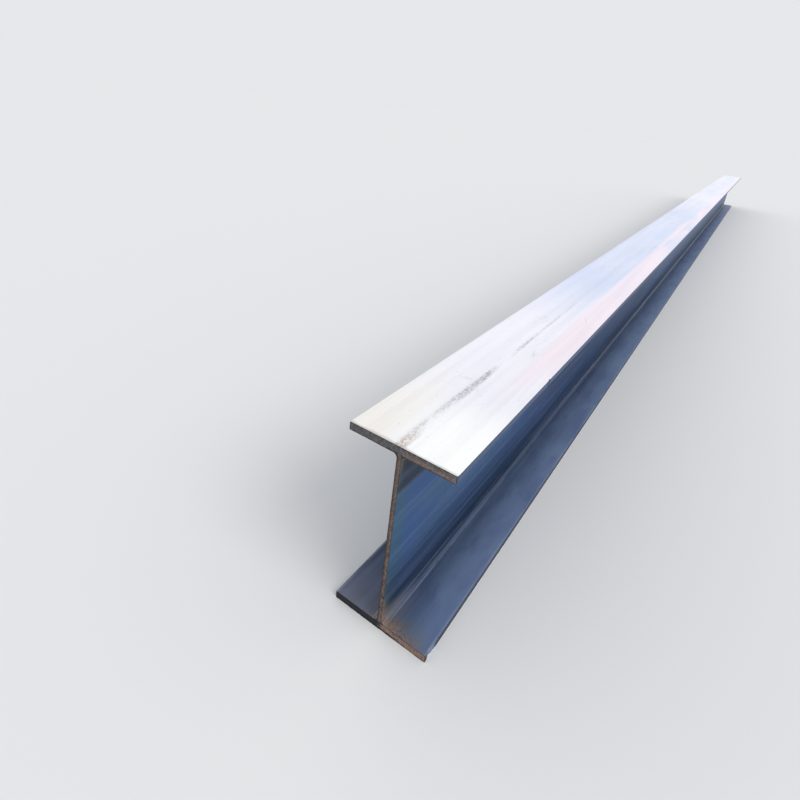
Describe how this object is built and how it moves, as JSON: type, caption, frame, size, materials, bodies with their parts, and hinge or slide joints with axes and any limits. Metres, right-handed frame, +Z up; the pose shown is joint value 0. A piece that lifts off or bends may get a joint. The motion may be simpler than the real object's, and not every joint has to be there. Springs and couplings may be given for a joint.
{
  "type": "steel h-beam",
  "caption": "Rolled wide-flange steel H-beam in a stock length, with parallel flanges, filleted web roots and sawn ends, for columns, girders and frames.",
  "frame": {"origin": "middle of the underside: mid-length and mid-width of the lower flange's outer face", "axes": "+X along the member's length, Y across the flanges, +Z up along the web's depth, towards the upper flange"},
  "size_m": [12, 0.302, 0.594],
  "materials": {
    "rolled_steel": "bare hot-rolled steel with blue-grey mill scale, light rust on the sawn ends and along the roots, and a scuffed upper face"
  },
  "bodies": {
    "root": {"h_beam": "rolled_steel"}
  },
  "joints": []
}
